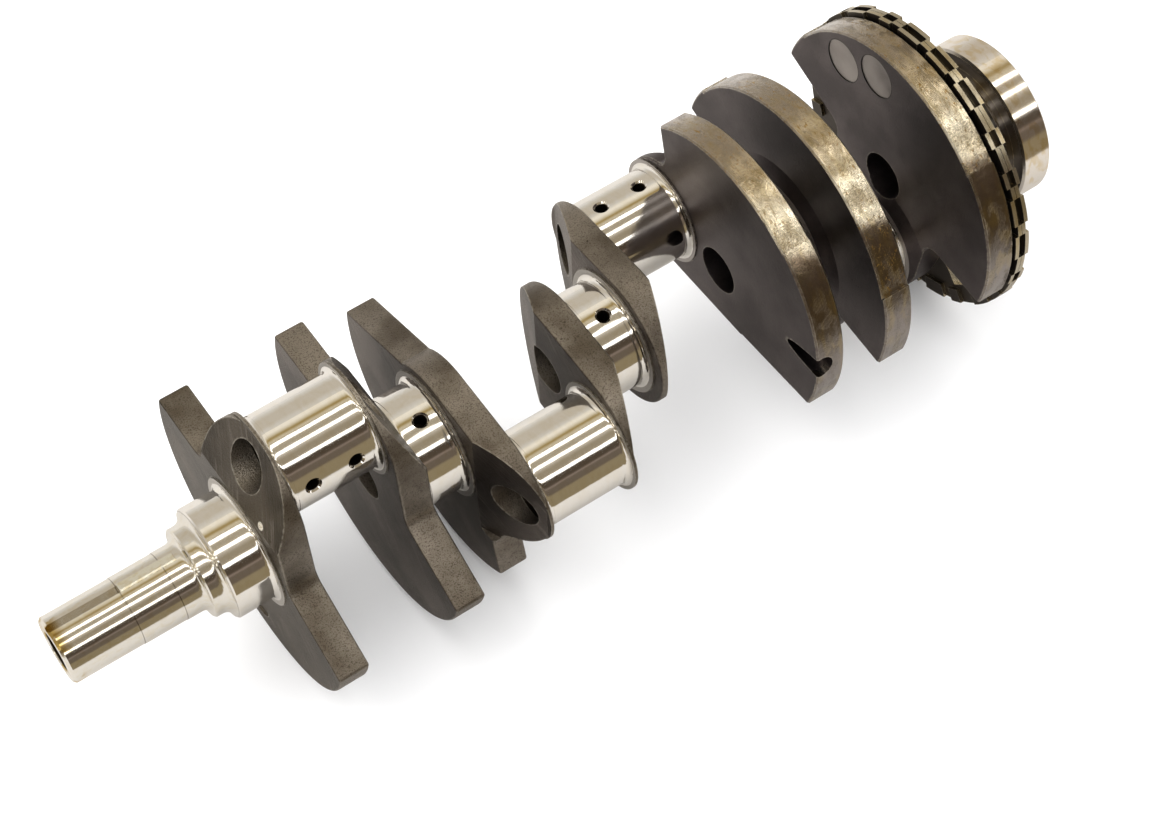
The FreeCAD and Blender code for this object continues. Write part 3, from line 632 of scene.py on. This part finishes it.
RING = plate_steel("trigger_ring", colour(0.060, 0.050, 0.042), colour(0.46, 0.41, 0.31), 0.26)
FLANGE = plate_steel("turned_flange", colour(0.10, 0.088, 0.080), colour(0.84, 0.79, 0.73), 0.11)
print("ring and flange ready")

# %% [markdown]
# Each finish goes on by the piece it belongs to. A CAD piece keeps its mesh, and only its
# material slots change.

# %% Put the finishes on
finish_of["snout"] = SNOUT
finish_of["snout_key"] = KEY
finish_of["rear_flange"] = FLANGE
finish_of["reluctor_front_plate"] = RING
finish_of["reluctor_rear_plate"] = RING
for index, (centre, _) in enumerate(slug_rings):
    finish_of[f"heavy_metal_slug_{index + 1}"] = slug_metal(f"slug_metal_{index + 1}", centre)
for name, piece in nodes.items():
    material = finish_of.get(name) or JOURNALS[name]
    piece.data.materials.clear()
    piece.data.materials.append(material)
print("finished", len(nodes), "pieces")

# %% [markdown]
# Mirror-bright steel only looks right if what it reflects is right. On a cylinder that lies along
# X, the streaks depend on one angle only, the direction of the reflected ray seen along the
# shaft. So the surroundings are a band of colours over that angle: a pale wall on the far side,
# three long lamps overhead, and a dark room behind the camera. Only reflections see those bands.
# Everything else is lit by a neutral sky, so that the sheet and its shadows keep no colour cast.

# %% Surroundings
world = bpy.data.worlds.new("studio")
bpy.context.scene.world = world
world.use_nodes = True
sky = world.node_tree
sky.nodes.clear()
look = sky.nodes.new("ShaderNodeTexCoord")
direction = add_node(sky, "ShaderNodeSeparateXYZ", Vector=look.outputs["Generated"])
toward = maths(sky, "ARCTAN2", maths(sky, "MULTIPLY", direction.outputs[1], -1.0), direction.outputs[2])
lean = maths(sky, "DIVIDE", maths(sky, "MULTIPLY", toward, DEGREES), 360.0)
position = maths(sky, "ADD", lean, 0.5)
bands = sky.nodes.new("ShaderNodeValToRGB")
# Degrees from straight up, positive towards the camera side, and what is seen there.
PALE = colour(0.86, 0.84, 0.81)
CREAM = colour(0.66, 0.62, 0.55)
SAND = colour(0.57, 0.51, 0.42)
LIGHT = colour(0.92, 0.85, 0.72)
WARM = colour(0.66, 0.57, 0.40)
AMBER = colour(0.36, 0.26, 0.10)
TAN = colour(0.42, 0.36, 0.26)
BROWN = colour(0.33, 0.275, 0.19)
LAMP = colour(3.8, 3.7, 3.5)
DARK = colour(0.075, 0.054, 0.036)
ROSE = colour(0.26, 0.20, 0.16)
DUSK = colour(0.14, 0.108, 0.078)
OLIVE = colour(0.27, 0.215, 0.125)
surroundings = [
    (-104, PALE), (-97, PALE), (-82, CREAM), (-72, SAND), (-48, SAND), (-38, CREAM), (-31, LIGHT),
    (-27, LIGHT), (-20, WARM), (-16, AMBER), (-13, AMBER), (-9, WARM), (-3, TAN), (-1.5, LAMP),
    (2.0, LAMP), (4.5, TAN),
    (18, TAN), (19, LAMP), (22, LAMP), (25, SAND), (34, BROWN), (47.5, BROWN), (48.5, LAMP), (52, LAMP),
    (54.5, DARK), (68, DARK), (71.5, ROSE), (75, DUSK), (87, DUSK), (91, OLIVE), (119, OLIVE), (123, PALE),
]
fill_ramp(bands, [(degrees / 360.0 + 0.5, seen) for degrees, seen in surroundings])
sky.links.new(position, bands.inputs[0])
rays = sky.nodes.new("ShaderNodeLightPath")
surround_light = add_node(sky, "ShaderNodeBackground", Color=bands.outputs[0], Strength=1.0)
even_light = add_node(sky, "ShaderNodeBackground", Color=colour(0.99, 0.99, 0.995), Strength=1.70)
choose = sky.nodes.new("ShaderNodeMixShader")
sky.links.new(rays.outputs["Is Glossy Ray"], choose.inputs[0])
sky.links.new(even_light.outputs[0], choose.inputs[1])
sky.links.new(surround_light.outputs[0], choose.inputs[2])
sky_out = sky.nodes.new("ShaderNodeOutputWorld")
sky.links.new(choose.outputs[0], sky_out.inputs[0])
print("bands", len(bands.color_ramp.elements))

# %% [markdown]
# The shaft lies on a white sheet that is lit a little past white, as in a studio shot. A mirror
# finish would show that as burnt-out patches, so reflections get a sheet of their own. It lies a
# hair above the first and is greyer, and its near edge is much closer, so that below that edge
# the journals reflect the bands of the surroundings instead.

# %% Floor
floor_height = cad_low.z - 0.0002
SHEET_REACH = 4.0
REFLECTED_EDGE = -0.25


def sheet(name, near, lift, shade):
    """A flat sheet from a near edge to far behind, of one slightly uneven shade."""
    far = SHEET_REACH
    mesh = bmesh.new()
    bmesh.ops.create_grid(mesh, x_segments=1, y_segments=1, size=1.0)
    bmesh.ops.scale(mesh, vec=(SHEET_REACH, (far - near) / 2.0, 1.0), verts=mesh.verts)
    bmesh.ops.translate(mesh, vec=(0.0, (far + near) / 2.0, floor_height + lift), verts=mesh.verts)
    data = bpy.data.meshes.new(name)
    mesh.to_mesh(data)
    mesh.free()
    material = bpy.data.materials.new(name)
    material.use_nodes = True
    tree = material.node_tree
    shader = tree.nodes["Principled BSDF"]
    shader.inputs["Roughness"].default_value = 0.7
    point = tree.nodes.new("ShaderNodeTexCoord")
    noise = add_node(tree, "ShaderNodeTexNoise", Vector=point.outputs["Object"], Scale=9.0, Detail=3.0)
    dim = colour(shade[0] * 0.96, shade[1] * 0.96, shade[2] * 0.96)
    tree.links.new(mix_colour(tree, noise.outputs[0], dim, colour(*shade)), shader.inputs["Base Color"])
    data.materials.append(material)
    piece = bpy.data.objects.new(name, data)
    bpy.context.scene.collection.objects.link(piece)
    piece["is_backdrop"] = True
    return piece


seen_sheet = sheet("white_sheet", -SHEET_REACH, 0.0, (0.94, 0.94, 0.94))
seen_sheet.visible_glossy = False
reflected_sheet = sheet("reflected_sheet", REFLECTED_EDGE, 0.00005, (0.50, 0.475, 0.44))
reflected_sheet.visible_camera = False
reflected_sheet.visible_diffuse = False
reflected_sheet.visible_shadow = False
print("floor at", round(floor_height, 4))

# %% [markdown]
# One very large soft light high on the far left fills the sheet to near white and pushes the
# shadows towards the lower right. It is hidden from reflections, so the streaks stay as they are.

# %% Light
lamp_data = bpy.data.lights.new("soft_key", "AREA")
lamp_data.shape = "RECTANGLE"
lamp_data.size = 1.6
lamp_data.size_y = 1.2
lamp_data.energy = 14.0
lamp_data.color = (1.0, 0.985, 0.965)
lamp = bpy.data.objects.new("soft_key", lamp_data)
bpy.context.scene.collection.objects.link(lamp)
lamp.location = (-0.75, 0.65, 1.55)
lamp.rotation_mode = "QUATERNION"
lamp.rotation_quaternion = (-Vector(lamp.location)).to_track_quat("-Z", "Y")
lamp.visible_glossy = False
bpy.context.scene.view_settings.view_transform = "Standard"
print("light energy", lamp_data.energy)

# %% [markdown]
# The camera stands over the snout end and looks down along the shaft, about 55 degrees above the
# table, with a long lens. Its matrix is written from its own three directions.

# %% Camera
camera_data = bpy.data.cameras.new("camera")
camera_data.sensor_width = 36.0
camera_data.lens = 78.86
camera_data.clip_start = 0.05
camera_data.clip_end = 20.0
camera = bpy.data.objects.new("camera", camera_data)
bpy.context.scene.collection.objects.link(camera)
camera_right = Vector((0.82290, -0.56746, -0.02875))
camera_down = Vector((-0.48048, -0.66797, -0.56829))
camera_ahead = Vector((0.30328, 0.48146, -0.82232))
camera_place = Vector((-0.42571, -0.65612, 1.07042))
turn_matrix = Matrix((camera_right, -camera_down, -camera_ahead)).transposed()
camera.matrix_world = Matrix.Translation(camera_place) @ turn_matrix.to_4x4()
bpy.context.scene.camera = camera
print("camera height", round(camera_place.z - floor_height, 3))

# %% [markdown]
# Last, the size: the finished model's length is printed, as the machined model's was at the start.
# The finished model has to keep the machined model's box.

# %% Print the finished length
low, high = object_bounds()
print("visual length", round(high.x - low.x, 4))
